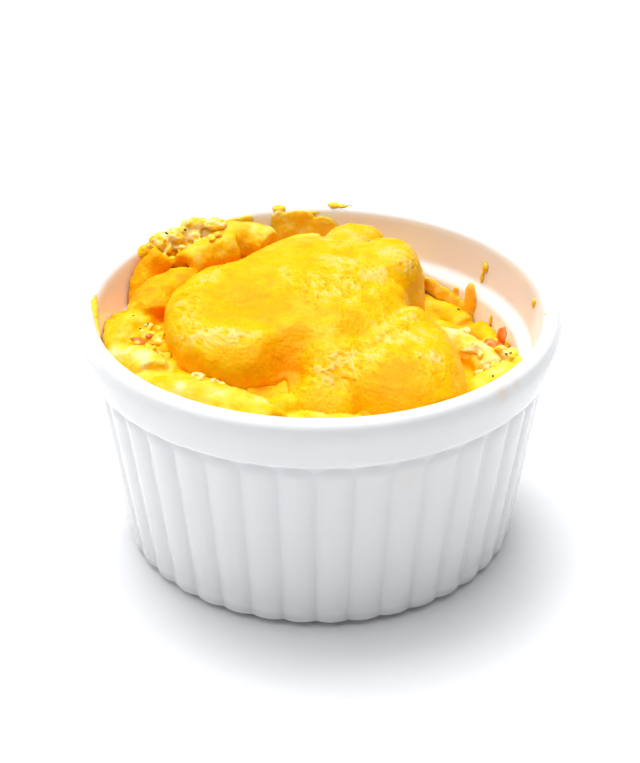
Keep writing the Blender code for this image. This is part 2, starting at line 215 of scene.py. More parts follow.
world = bpy.data.worlds.new("light_room")
world.use_nodes = True
bpy.context.scene.world = world
dot_inputs = {0: add_node(world, "ShaderNodeTexCoord").outputs["Generated"], 1: CEILING_DIRECTION}
upwards = add_node(world, "ShaderNodeVectorMath", dot_inputs, operation="DOT_PRODUCT")
brightness = change_range(world, upwards.outputs["Value"], CEILING_EDGE, ROOM_STRENGTH)
room = world.node_tree.nodes["Background"]
set_inputs(world, room, {"Color": linear("FCFDFF"), "Strength": brightness})

floor_mesh = bpy.data.meshes.new("paper_floor")
floor_corners = [(x * FLOOR_HALF, y * FLOOR_HALF, 0.0) for x, y in ((-1, -1), (1, -1), (1, 1), (-1, 1))]
floor_mesh.from_pydata(floor_corners, [], [(0, 1, 2, 3)])
floor = new_object("paper_floor", floor_mesh)
paper, shader = new_material("white_paper")
set_inputs(paper, shader, {"Base Color": linear("F4F4F5"), "Roughness": 0.6})
floor_mesh.materials.append(paper)
print(f"The soft box is {KEY_SIZE:.2f} m wide and hangs {KEY_DISTANCE:.1f} m away")

# %% [markdown]
# ## Helpers for round things
#
# The dish, the food and even a crumb are skins through a row of rings, each ring with the same number of
# points. `skin` joins them with four-sided faces and closes both ends with a fan, so each is one closed
# body. `run_together` applies its modifiers at once, because later steps need the finished points.

# %% Helpers for round things
def around(count):
    """Angles evenly all round."""
    return math.tau * np.arange(count) / count


def rows(x, y, z):
    """One row of x, y, z for each point."""
    return np.stack(np.broadcast_arrays(x, y, z), axis=-1)


def skin(rings):
    """Points and faces of a closed body through rings of equal count."""
    rings = np.asarray(rings, float)
    count, steps = rings.shape[:2]
    points = np.concatenate([rings.reshape(-1, 3), [rings[0].mean(0)], [rings[-1].mean(0)]])
    faces = []
    for i in range(count - 1):
        for j in range(steps):
            k = (j + 1) % steps
            faces.append((i * steps + j, i * steps + k, (i + 1) * steps + k, (i + 1) * steps + j))
    first, last = count * steps, count * steps + 1
    for j in range(steps):
        k = (j + 1) % steps
        faces.append((k, j, first))
        faces.append(((count - 1) * steps + j, (count - 1) * steps + k, last))
    return points, faces


def add_piece(name, bodies):
    """One smooth object from several bodies of points and faces."""
    points = []
    faces = []
    for body_points, body_faces in bodies:
        faces += [tuple(index + len(points) for index in face) for face in body_faces]
        points += [tuple(point) for point in body_points]
    mesh = bpy.data.meshes.new(name)
    mesh.from_pydata(points, [], faces)
    bm = bmesh.new()
    bm.from_mesh(mesh)
    bmesh.ops.recalc_face_normals(bm, faces=bm.faces)
    bm.to_mesh(mesh)
    bm.free()
    mesh.shade_smooth()
    return new_object(name, mesh)


def run_together(piece, grain, rounds):
    """Melt a piece's overlapping bodies into one skin, with faces as large as the grain, and soften it."""
    remesh = piece.modifiers.new("run_together", "REMESH")
    remesh.mode = "VOXEL"
    remesh.voxel_size = grain
    remesh.use_smooth_shade = True
    soften = piece.modifiers.new("soften", "SMOOTH")
    soften.factor = 0.5
    soften.iterations = rounds
    graph = bpy.context.evaluated_depsgraph_get()
    mesh = bpy.data.meshes.new_from_object(piece.evaluated_get(graph))
    piece.modifiers.clear()
    piece.data = mesh


def get_rows(piece, what):
    """One row of x, y, z for each point: its place is "co", and the way it faces is "normal"."""
    numbers = np.empty(len(piece.data.vertices) * 3)
    piece.data.vertices.foreach_get(what, numbers)
    return numbers.reshape(-1, 3)


def set_points(piece, points):
    """Move a piece's points."""
    piece.data.vertices.foreach_set("co", points.ravel())
    piece.data.update()


def raised(piece, heights):
    """A piece's points, each moved along the direction that it faces by so many millimetres."""
    return get_rows(piece, "co") + get_rows(piece, "normal") * (heights * MM)[:, None]


def store(piece, name, values):
    """Keep one number from 0 to 1 for each point, for the material to read."""
    attribute = piece.data.attributes.new(name, "FLOAT", "POINT")
    attribute.data.foreach_set("value", np.clip(values, 0.0, 1.0).astype(np.float32))


def ripple(points, size, seed=0.0):
    """Smooth noise of about -1 to 1, with lumps about `size` across."""
    shift = Vector((seed, 1.7 * seed, 2.3 * seed))
    return np.array([noise.noise(Vector(point) / size + shift) for point in points])


def ease(value):
    """0 below 0, 1 above 1, and a soft S between."""
    value = np.clip(value, 0.0, 1.0)
    return value * value * (3.0 - 2.0 * value)


# %% [markdown]
# ## The dish: its shape
#
# A ramekin is pressed or slip-cast in a mould, so it has a turned profile with ribs all round. A Screw
# modifier could spin the profile, but the ribs round off at the top, so a skin through rings, each cut by
# the ribs' formula, gives the cleaner form. A Catmull-Rom curve rounds the corners of the band and the lip,
# as glaze does.

# %% The dish: its shape
WALL_TOP_RADIUS = 42.7 * MM
WALL_FOOT_RADIUS = 37.9 * MM
EDGE_ROUNDING = 0.4 * MM
FLAT_OUTER_RADIUS = 35.2 * MM
FLAT_INNER_RADIUS = 31.0 * MM
FOOT_FLARE = 0.4 * MM
BASE_RECESS = 0.6 * MM
DISH_FLOOR = 4.2 * MM
FLOOR_CORNER = 5.5 * MM
INNER_FOOT_RADIUS = 35.3 * MM
LEDGE_FOOT = 35.4 * MM
LEDGE_FOOT_RADIUS = 37.4 * MM
LEDGE_TOP = 38.2 * MM
LEDGE_TOP_RADIUS = 39.9 * MM
MOUTH_RADIUS = 41.2 * MM
LIP_ROUNDING = 1.6 * MM
RIBS = 40
GROOVE_DEPTH = 0.65 * MM
FIRST_GROOVE = math.radians(-1.0)
RIB_FULLNESS = 2.2  # the ribs are fuller than round ones, which would have 2
ARCH_FOOT = 33.2 * MM
ARCH_TOP = 36.0 * MM
STEPS_PER_RIB = 16
EDGE_TURNS = (0, 30, 60, 90)  # degrees round each rounded corner at which it has a ring
FLOOR_CORNER_TURNS = (0, 20, 40, 60, 75, 90)
WALL_RINGS = 12
ARCH_RINGS = 10
LIP_STEPS = 5
INSIDE_RINGS = 18
BAND_PROFILE = (  # radius and height, in millimetres, from under the band's edge over the lip to its inside
    (42.1, 36.1),
    (42.9, 36.5),
    (43.6, 37.2),
    (44.1, 38.6),
    (44.5, 40.3),
    (44.85, 41.9),
    (45, 43.6),
    (44.7, 45),
    (43.9, 45.9),
    (42.9, 46.1),
    (42.1, 45.9),
    (41.5, 45.3),
    (41.2, 44.5),
)


def directions_at(degrees):
    """The level directions outwards and along the wall, at an angle round the dish."""
    turn = math.radians(degrees)
    return np.array([math.cos(turn), math.sin(turn), 0.0]), np.array([-math.sin(turn), math.cos(turn), 0.0])


def between(height, foot, foot_radius, top, top_radius):
    """Radius at heights between a foot and a top."""
    return foot_radius + (height - foot) / (top - foot) * (top_radius - foot_radius)


def inner_radius(height):
    """Inside radius of the dish at each height: a straight wall, a soft ledge and the wider mouth."""
    height = np.asarray(height, float)
    lower = between(height, DISH_FLOOR + FLOOR_CORNER, INNER_FOOT_RADIUS, LEDGE_FOOT, LEDGE_FOOT_RADIUS)
    step = ease((height - LEDGE_FOOT) / (LEDGE_TOP - LEDGE_FOOT))
    ledge = LEDGE_FOOT_RADIUS + step * (LEDGE_TOP_RADIUS - LEDGE_FOOT_RADIUS)
    mouth_foot = DISH_HEIGHT - LIP_ROUNDING
    upper = between(np.minimum(height, mouth_foot), LEDGE_TOP, LEDGE_TOP_RADIUS, mouth_foot, MOUTH_RADIUS)
    return np.where(height < LEDGE_FOOT, lower, np.where(height < LEDGE_TOP, ledge, upper))


def floor_corner(degrees):
    """Radius and height in the rounded corner between the wall, at 0 degrees, and the floor, at 90."""
    turn = math.radians(degrees)
    radius = INNER_FOOT_RADIUS - FLOOR_CORNER * (1.0 - math.cos(turn))
    return radius, DISH_FLOOR + FLOOR_CORNER * (1.0 - math.sin(turn))


def crown_radius(height):
    """Outside radius of the ribs at each height."""
    return between(height, EDGE_ROUNDING, WALL_FOOT_RADIUS, ARCH_TOP, WALL_TOP_RADIUS)


def smooth_path(path, steps):
    """A Catmull-Rom curve through a path's points, with so many steps to each stretch."""
    path = [2.0 * np.array(path[0]) - path[1], *np.array(path), 2.0 * np.array(path[-1]) - path[-2]]
    curve = []
    for a, b, c, d in zip(path, path[1:], path[2:], path[3:]):
        for t in np.arange(steps) / steps:
            bend = (2 * a - 5 * b + 4 * c - d) * t**2 + (3 * b - a - 3 * c + d) * t**3
            curve.append(0.5 * (2 * b + (c - a) * t + bend))
    return curve + [path[-2]]


def rib_ring(radius, height, share=1.0):
    """A ring cut by the grooves between the ribs. In the arch each rib rounds off to the grooves' depth."""
    arch = max(0.0, (height - ARCH_FOOT) / (ARCH_TOP - ARCH_FOOT))
    step = np.arange(RIBS * STEPS_PER_RIB) / STEPS_PER_RIB
    angle = -math.pi / 2 + FIRST_GROOVE + math.tau * step / RIBS
    across = np.abs(2.0 * (step % 1.0) - 1.0)
    cut = np.minimum(1.0, across**RIB_FULLNESS + arch**2)
    r = radius - share * GROOVE_DEPTH * cut
    return rows(r * np.cos(angle), r * np.sin(angle), height)


def dish_rings():
    """All rings of the dish, from its recessed base up the outside, over the lip and down to its floor."""
    rings = [rib_ring(FLAT_INNER_RADIUS - FOOT_FLARE, BASE_RECESS, 0.0)]
    rings.append(rib_ring(FLAT_INNER_RADIUS, -FOOT_HEIGHT, 0.0))
    rings.append(rib_ring(FLAT_OUTER_RADIUS, -FOOT_HEIGHT, 0.0))
    rings.append(rib_ring(FLAT_OUTER_RADIUS + FOOT_FLARE, 0.0, 0.0))
    for degrees in EDGE_TURNS:
        turn = math.radians(degrees)
        radius = WALL_FOOT_RADIUS - EDGE_ROUNDING * (1.0 - math.sin(turn))
        rings.append(rib_ring(radius, EDGE_ROUNDING * (1.0 - math.cos(turn))))
    straight = np.linspace(EDGE_ROUNDING, ARCH_FOOT, WALL_RINGS)
    arched = np.linspace(ARCH_FOOT, ARCH_TOP, ARCH_RINGS)[1:]
    for height in (*straight, *arched):
        rings.append(rib_ring(crown_radius(height), height))
    for radius, height in smooth_path(BAND_PROFILE, LIP_STEPS):
        rings.append(rib_ring(radius * MM, height * MM, 0.0))
    for height in np.linspace(DISH_HEIGHT - LIP_ROUNDING, LEDGE_FOOT, INSIDE_RINGS)[1:]:
        rings.append(rib_ring(float(inner_radius(height)), height, 0.0))
    for degrees in FLOOR_CORNER_TURNS:
        rings.append(rib_ring(*floor_corner(degrees), 0.0))
    return rings


ramekin = add_piece("ramekin_glazed", [skin(dish_rings())])
print("The dish has", len(ramekin.data.polygons), "faces")

# %% [markdown]
# ## The dish: glazed porcelain
#
# Porcelain is white clay fired until it is glassy, under a clear glaze a few tenths of a millimetre thick.
# So it is a clean, slightly cool white, with a sharp reflection of the soft box over soft shading. The
# grooves are painted a touch greyer as painted shade, and the glaze is wavy over a few millimetres rather
# than flat. The foot ring is left bare up to just under the fluting: there it is dull clay, painted dark
# grey-brown as the painted shadow under the dish. Old sauce leaves a few faint marks. Each has its place on
# the dish, so it is a spot in the `stain` value of the points round it.

# %% The dish: glazed porcelain
STAINS = (  # angle in degrees, height, radius of the mark, both in millimetres, and strength
    (-46, 44.6, 1.5, 0.40),
    (-41, 44.9, 1.1, 0.25),
    (-135.4, 25.3, 1, 0.45),
    (-137, 23.8, 0.7, 0.25),
    (-68.4, 32.1, 1.6, 0.25),
    (-128, 29.6, 0.9, 0.18),
)
BARE_AND_SHADOWED_FOOT = (1.0 * MM, 1.35 * MM)  # height over the table at which the bare clay, with its painted dark shadow, passes into glaze
GROOVE_SHADE_SHARE = 0.15  # how far the deepest groove goes towards the grey of the painted groove shade
GLAZE_ROUGHNESS = (0.10, 0.17)
CLAY_ROUGHNESS = 0.7
MIDDLE_OF_NOISE = (0.3, 0.7)  # cloudy noise hardly ever leaves this range
dish_points = get_rows(ramekin, "co")
stain = np.zeros(len(dish_points))
outer = np.hypot(dish_points[:, 0], dish_points[:, 1])
for degrees, height, size, strength in STAINS:
    mark = outer[:, None] * directions_at(degrees)[0] + UP * height * MM
    away = np.linalg.norm(dish_points - mark, axis=1) / (size * MM)
    stain = np.maximum(stain, (outer > MOUTH_RADIUS) * strength * np.exp(-(away**2)))
store(ramekin, "stain", stain)
# Painted shade: each groove gets a share of grey, most at its bottom.
in_ribs = (dish_points[:, 2] > EDGE_ROUNDING) & (dish_points[:, 2] < ARCH_TOP) & (outer > LEDGE_FOOT_RADIUS)
store(ramekin, "groove_shade", np.where(in_ribs, (crown_radius(dish_points[:, 2]) - outer) / GROOVE_DEPTH, 0.0))

porcelain, shader = new_material("glazed_porcelain")
cloud = pattern(porcelain, 14.3 * MM, 3.0)
white = mix_colours(porcelain, cloud, linear("EEF0F1"), linear("F2F3F3"))
# Painted shade: the grooves go a touch greyer.
groove_shade = arithmetic(porcelain, "MULTIPLY", stored(porcelain, "groove_shade"), GROOVE_SHADE_SHARE)
in_grooves = mix_colours(porcelain, groove_shade, white, linear("DCE0E2"))
marks = arithmetic(porcelain, "MULTIPLY", stored(porcelain, "stain"), pattern(porcelain, 1.11 * MM, 2.0))
stained = mix_colours(porcelain, marks, in_grooves, linear("E8A040"))
height = add_node(porcelain, "ShaderNodeSeparateXYZ", {0: surface_place(porcelain)}).outputs["Z"]
# The bare foot ring is dull, rough clay, and its dark grey-brown is painted shadow under the dish.
bare_and_shadowed = change_range(porcelain, height, BARE_AND_SHADOWED_FOOT, (1.0, 0.0))
colour = mix_colours(porcelain, bare_and_shadowed, stained, linear("7A7168"))
gloss = change_range(porcelain, cloud, MIDDLE_OF_NOISE, GLAZE_ROUGHNESS)
roughness_inputs = {"Factor": bare_and_shadowed, "A": gloss, "B": CLAY_ROUGHNESS}
roughness = add_node(porcelain, "ShaderNodeMix", roughness_inputs, data_type="FLOAT").outputs[0]
waves = pattern(porcelain, 3.85 * MM, 2.0)
wavy = add_node(porcelain, "ShaderNodeBump", {"Height": waves, "Strength": 0.25, "Distance": 0.08 * MM})
set_inputs(
    porcelain,
    shader,
    {
        "Base Color": colour,
        "Roughness": roughness,
        "Normal": wavy.outputs[0],
        "IOR": 1.5,
        "Subsurface Weight": 1.0,
        "Subsurface Radius": (1.0, 1.0, 1.0),
        "Subsurface Scale": 0.8 * MM,
    },
)
ramekin.data.materials.append(porcelain)
print("The porcelain has", len(porcelain.node_tree.nodes), "nodes")

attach(ramekin, "root")
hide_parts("ramekin")

# %% [markdown]
# ## The level of the heap
#
# The food doesn't lie flat: it leans down to the right and the back, with a mound in the middle, a hollow
# at the back right and a small dip beside the wall at the left. A short formula gives that level, and
# everything that lies on the food uses it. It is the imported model's formula, with the small dip added.

# %% The level of the heap
WALL_CLEARANCE = 0.15 * MM
HEAP_LEVEL = 36.2 * MM
HEAP_LEAN_X = -0.10
HEAP_LEAN_Y = -0.06
SWELLINGS = (  # x, y, spread and height in millimetres, below 0 for a hollow
    (-2, -2, 24, 8.4),  # the mound in the middle
    (30, 14, 16, -4.4),  # the hollow at the back right
    (-38, 12, 7, -2.2),  # the small dip at the left
)
SETTLING_ROUNDS = 6  # the level and the wall's radius depend on each other, so they are found by turns


def heap_level(x, y):
    """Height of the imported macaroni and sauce."""
    level = HEAP_LEVEL + HEAP_LEAN_X * x + HEAP_LEAN_Y * y
    for middle_x, middle_y, spread, height in np.array(SWELLINGS) * MM:
        level = level + height * np.exp(-((x - middle_x) ** 2 + (y - middle_y) ** 2) / spread**2)
    return level


def press_in(points):
    """Move points inwards where they would pass through the wall, as soft pasta is pressed flat there."""
    points = np.asarray(points, float)
    reach = np.hypot(points[..., 0], points[..., 1])
    limit = inner_radius(points[..., 2]) - WALL_CLEARANCE
    share = np.minimum(1.0, limit / np.maximum(reach, MM))
    return points * np.stack([share, share, np.ones_like(share)], axis=-1)


def round_top(steps, rings, lift):
    """Rings over the heap, from the wall inwards."""
    angle = around(steps)
    found = []
    for share in np.linspace(1.0, 0.02, rings):
        reach = np.full(steps, MOUTH_RADIUS)
        for _ in range(SETTLING_ROUNDS):
            level = heap_level(reach * np.cos(angle), reach * np.sin(angle)) + lift
            reach = inner_radius(level) - WALL_CLEARANCE
        x = share * reach * np.cos(angle)
        y = share * reach * np.sin(angle)
        found.append(rows(x, y, heap_level(x, y) + lift))
    return found


print(f"The heap's level is {1000 * heap_level(0, 0):.1f} mm in the middle")

# %% [markdown]
# ## The melted cheese: its form
#
# The cheese lies as one thick sheet, slumped over lumps of pasta. It could be sculpted by hand, but a sum
# of domes keeps every lump a named size. Each dome is full on top and steep at its sides, as soft cheese
# is, and the domes run into each other. Shallow dents and swellings on top make the slab on the left dished
# with a swollen rim, and give the sheet its valley, folds and peak.

# %% The melted cheese: its form
CHEESE_DOMES = (  # x, y, half width, half length, turn in degrees, height of the top, fullness
    (-13, -4.4, 15.5, 21.2, 0, 49.2, 3.4),
    (0, 4.5, 17.5, 23.5, 0, 50.6, 3),
    (7.2, 25, 8.4, 7, 0, 49.4, 2.4),
    (13.2, 13, 7.4, 10.5, 0, 50.6, 3.2),
    (13.5, -17.5, 12.3, 19, 10, 47.4, 3),
    (1.8, -17.5, 6.6, 10, 0, 48, 1.9),
    (1.5, -24, 7, 10.5, 0, 44.8, 1.7),
)
CHEESE_BLEND = 2.4 * MM  # how softly one dome runs into the next
CHEESE_EDGE = 1.0 * MM  # the cheese's edge stands this far above the heap, and is sunk as far into it
CHEESE_MIDDLE = (-2.0 * MM, -4.0 * MM)
CHEESE_SPOKES = 300
CHEESE_RINGS = 90
RIM_CROWDING = 1.3  # above 1, the rings stand closer together towards the steep rim
UNDER_SHARES = (1.0, 0.8, 0.5, 0.2)  # of the way out, where the underside has its rings
LONGEST_REACH = 45.0  # both in millimetres
REACH_STEP = 0.1
CHEESE_GRAIN = 0.25 * MM
CHEESE_DENTS = (  # x, y, half width, half length, turn in degrees, and height, below 0 for a dent
    (-11.5, -7, 7, 8.5, 0, -0.9),  # the dished middle of the slab
    (-21.5, -8, 3.5, 12, 8, 0.5),  # its swollen left rim
    (-13, -18.6, 9, 3.5, -12, 0.7),  # and its swollen front
    (-2.5, -2, 2.6, 10, -6, 0.7),  # the step up beside it
    (-6, -23.5, 2.8, 4.2, 0, -4.5),  # the deep valley at the front
    (5.5, -13.5, 7, 4, 25, 0.5),  # the sheet runs down smoothly in front of the middle
    (19, -4, 3.6, 3.4, 0, 1.3),  # the peak at the back of the right lobe
    (15.5, -10.5, 2.4, 6, -35, 0.5),  # and the ridge down from it
    (10, -19.5, 1.2, 5.5, -50, -0.8),  # the fold across the lobe
    (17, -23, 5, 4, 0, 0.6),
    (1, -26, 3, 3, 0, 0.7),
)


def way_out(x, y, middle_x, middle_y, half_width, half_length, turn):
    """How far out a point is in an oval that is turned by some degrees: 1 is its edge."""
    angle = math.radians(turn)
    across = (x - middle_x * MM) * math.cos(angle) + (y - middle_y * MM) * math.sin(angle)
    along = (y - middle_y * MM) * math.cos(angle) - (x - middle_x * MM) * math.sin(angle)
    return np.hypot(across / (half_width * MM), along / (half_length * MM))


def cheese_top(x, y):
    """Height of the cheese: its domes over the heap, run together softly, with its dents."""
    edge = heap_level(x, y) + CHEESE_EDGE
    height = edge
    for *oval, top, fullness in CHEESE_DOMES:
        share = np.minimum(1.0, way_out(x, y, *oval))
        rise = edge + (top * MM - edge) * (1.0 - share**fullness) ** (1.0 / fullness)
        overlap = np.maximum(CHEESE_BLEND - np.abs(height - rise), 0.0) / CHEESE_BLEND
        blended = np.maximum(height, rise) + CHEESE_BLEND * overlap**2 / 4.0
        height = np.where(share < 1.0, blended, height)
    for *oval, lift in CHEESE_DENTS:
        height = height + lift * MM * np.exp(-(way_out(x, y, *oval) ** 2))
    return np.maximum(height, edge)


def in_cheese(x, y):
    """How far out a point is: below 1 it lies in one of the cheese's domes."""
    return np.min([way_out(x, y, *oval) for *oval, _, _ in CHEESE_DOMES], axis=0)


def cheese_reach(angle):
    """How far the cheese reaches from its middle in one direction."""
    reaches = np.arange(1.0, LONGEST_REACH, REACH_STEP) * MM
    x = CHEESE_MIDDLE[0] + reaches * math.cos(angle)
    y = CHEESE_MIDDLE[1] + reaches * math.sin(angle)
    held = (in_cheese(x, y) < 1.0) & (np.hypot(x, y) < inner_radius(heap_level(x, y)) - WALL_CLEARANCE)
    return reaches[held].max()


def cheese_rings():
    """Rings of the cheese, from the middle of its top out to its edge and back under it."""
    angle = around(CHEESE_SPOKES)
    reach = np.array([cheese_reach(a) for a in angle])
    shares = [*(1.0 - np.linspace(0.99, 0.0, CHEESE_RINGS) ** RIM_CROWDING), *UNDER_SHARES]
    rings = []
    for number, share in enumerate(shares):
        x = CHEESE_MIDDLE[0] + share * reach * np.cos(angle)
        y = CHEESE_MIDDLE[1] + share * reach * np.sin(angle)
        height = cheese_top(x, y) if number < CHEESE_RINGS else heap_level(x, y) - CHEESE_EDGE
        rings.append(rows(x, y, height))
    return rings


cheese = add_piece("cheese_sheet", [skin(cheese_rings())])
run_together(cheese, CHEESE_GRAIN, 3)
print("The cheese has", len(cheese.data.polygons), "faces")

# %% [markdown]
# ## The melted cheese: its skin
#
# As melted cheese cools, its skin wrinkles and small bubbles burst in it, while the steep sides and a few
# places on top stay smooth. Wrinkles a millimetre or so apart are large enough to catch the light and cast
# shadows, so they are real relief: each point moves along the direction that it faces. A value called
# `tint` goes from 0, pale wrinkled skin, to 1, deep orange, and the material turns it into colour. The
# tint also holds painted light: the steep sides are pulled to one tint as painted shade, and the wrinkled
# skin, most of all on its crests, is painted paler as painted highlight.

# %% The melted cheese: its skin
CRINKLED_SPOTS = (  # x, y, half width, half length and turn in degrees, where the skin is wrinkled most
    (2, -3.5, 7, 7, 0),
    (6, 5, 8, 4, -30),
    (-17.5, -18.6, 6.5, 2.8, -10),
    (-23.5, -10, 2.6, 9, 6),
    (-21, 2, 2.2, 6, -30),
    (-6, 0, 1.6, 6, 0),
    (0.5, -25, 3.6, 5, 0),
    (16.5, 9, 2.6, 3, 0),
    (15, -9.5, 2.4, 5, -35),
    (19, -25, 3.6, 4, 0),
    (8, -24, 5, 6, -40),
    (14, -17, 4, 4.5, 0),
)
TINTED_SPOTS = (  # x, y, radius and tint
    (-22.5, -9, 5, 0.60),
    (-16.5, -18, 5.5, 0.36),
    (1, -3, 7, 0.56),
    (-11, -7, 8, 0.72),
    (-14, 10, 6, 0.50),
    (7, 21.5, 6, 0.22),
    (13.6, 11.5, 4, 0.22),
    (-5.5, -23, 4.5, 1.00),
    (12, -30, 7, 0.80),
    (20, -14, 4, 0.35),
)
LUMP_HEIGHT = 0.40  # heights of the relief in millimetres
SMALL_LUMP_HEIGHT = 0.15
WRINKLE_HEIGHT = 0.18
SMALL_WRINKLE_HEIGHT = 0.20
SPOT_EDGE = 2.5  # above 2, a spot is even inside and ends more sharply than a bell curve
# Painted shade: the tint that the steep sides are pulled to.
STEEP_SHADE_TINT = 0.38
CREST_HIGHLIGHT = 0.50  # how much paler the crests of the wrinkles are painted, as painted highlight
WRINKLE_DIRECTION = np.array([[0.85, -0.53, 0.0], [0.53, 0.85, 0.0], [0.0, 0.0, 1.0]])
WRINKLE_STRETCH = np.array([1.0, 0.5, 1.0])  # they are twice as long as wide


def creases(points, size, seed):
    """Noise folded at its middle: sharp crests at 1, with soft hollows between them."""
    return 1.0 - 2.5 * np.abs(ripple(points, size, seed))


def in_spot(points, *oval):
    """1 in the middle of an oval spot, and 0 well outside it."""
    return np.exp(-(way_out(points[:, 0], points[:, 1], *oval) ** SPOT_EDGE))


points = get_rows(cheese, "co")
crinkled = np.max([in_spot(points, *oval) for oval in CRINKLED_SPOTS], axis=0)
patches = ripple(points, 4.5 * MM, 3.0)
blotches = ripple(points, 2.6 * MM, 4.0)
own_tint = 0.45 + 0.22 * patches + 0.12 * blotches
for x, y, radius, tint in TINTED_SPOTS:
    own_tint = own_tint + in_spot(points, x, y, radius, radius, 0.0) * (tint - own_tint)
facing_up = ease((get_rows(cheese, "normal")[:, 2] - 0.15) / 0.6)
crinkle = facing_up * np.clip(0.12 + 1.1 * crinkled + 0.5 * blotches * (0.3 + crinkled), 0.0, 1.0)

swept = (points @ WRINKLE_DIRECTION) * WRINKLE_STRETCH
bends = [ripple(points, 2.5 * MM, seed) for seed in (11.0, 12.0, 13.0)]
bent = swept + 0.9 * MM * np.stack(bends, axis=-1)
wrinkles = creases(bent, 1.4 * MM, 5.0)
small_wrinkles = creases(bent, 0.75 * MM, 6.0)
small_lumps = ripple(points, 2.2 * MM, 8.0)
relief = LUMP_HEIGHT * ripple(points, 5.0 * MM, 1.0) + SMALL_LUMP_HEIGHT * small_lumps
relief = relief + crinkle * (WRINKLE_HEIGHT * wrinkles + SMALL_WRINKLE_HEIGHT * small_wrinkles)
above_bed = ease((points[:, 2] - heap_level(points[:, 0], points[:, 1])) / (0.8 * MM))
points = raised(cheese, relief * above_bed)
set_points(cheese, press_in(points))
# Painted highlight: the wrinkled skin, and most of all its crests, is painted paler.
crests = 0.5 * (wrinkles + small_wrinkles)
own_tint = own_tint - CREST_HIGHLIGHT * crinkle * np.clip(0.1 + 0.9 * crests, 0.0, 1.0)
# Painted shade: the steep sides take one tint.
own_tint = own_tint + (1.0 - facing_up) * (STEEP_SHADE_TINT - own_tint)
store(cheese, "tint", own_tint + 0.10 * small_lumps)
print(f"The cheese stands {1000 * (points[:, 2].max() + FOOT_HEIGHT):.1f} mm above the table")

# %% [markdown]
# ## The melted cheese: its material
#
# Melted cheese is fat and protein: light goes a millimetre or two into it and comes out yellower, so thick
# sides glow orange and thin skin looks pale. Subsurface scattering does part of that, and the rest is
# painted into the tint: the steep sides as painted shade, and the paler wrinkled skin as painted highlight.
# Butterfat makes the wrinkled skin glossy, while the smooth orange parts are duller. Neither fat nor water
# refracts light strongly, so the gloss is low. Bubbles and wrinkles finer than the mesh are drawn as bump,
# one or two to a millimetre.

# %% The melted cheese: its material
CHEESE_COLOURS = ((0.0, "F4CA70"), (0.3, "F6BE08"), (0.6, "F8AA00"), (1.0, "FA9600"))
UNEVEN_TINT = (-0.14, 0.14)  # added to the tint by a fine mottle
PALE_TO_ORANGE = (0.1, 0.7)  # the range of tint over which the food goes from glossy to dull
FOOD_ROUGHNESS = (0.18, 0.52)


def wet_food(name, stops, bump_strength):
    """Wet, translucent food, coloured by the tint of its points along the stops of a ramp."""
    material, shader = new_material(name)
    mottle = change_range(material, pattern(material, 2.5 * MM, 5.0), MIDDLE_OF_NOISE, UNEVEN_TINT)
    total = arithmetic(material, "ADD", stored(material, "tint"), mottle, use_clamp=True)
    grain = pattern(material, 0.526 * MM, 3.0)
    pit_inputs = {"Vector": surface_place(material), "Scale": 1.0 / (0.77 * MM)}
    pits = add_node(material, "ShaderNodeTexVoronoi", pit_inputs).outputs["Distance"]
    heights = arithmetic(material, "ADD", grain, pits)
    bump_inputs = {"Height": heights, "Strength": bump_strength, "Distance": 0.2 * MM}
    set_inputs(
        material,
        shader,
        {
            "Base Color": colour_ramp(material, total, stops),
            "Roughness": change_range(material, total, PALE_TO_ORANGE, FOOD_ROUGHNESS),
            "Normal": add_node(material, "ShaderNodeBump", bump_inputs).outputs[0],
            "IOR": 1.40,
            "Specular IOR Level": 0.11,
            "Subsurface Weight": 0.4,
            "Subsurface Radius": (1.0, 0.5, 0.08),
            "Subsurface Scale": 1.0 * MM,
        },
    )
    return material


melted = wet_food("melted_cheese", CHEESE_COLOURS, 0.5)
cheese.data.materials.append(melted)
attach(cheese, "root")
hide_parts("melted_cheese")
print("The cheese's material has", len(melted.node_tree.nodes), "nodes")

# %% [markdown]
# ## The macaroni
#
# Elbow macaroni is extruded dough cut into short curved tubes. Cooked, each is about 7 mm thick with a 3 to
# 4 mm bore, which sauce often fills. Each is a skin of rings along its bend, round the rim of its end and a
# little way into the bore. The ones that stand out have places of their own, and smaller ones between them
# are scattered from one seeded row of random numbers, half sunk. All of them and the bed of sauce are then
# run together at a fine grain, because thick sauce fills the gaps between soft tubes and rounds their
# edges.

# %% The macaroni
OPEN = 0.50  # of the tube's radius
FILLED = 0.22
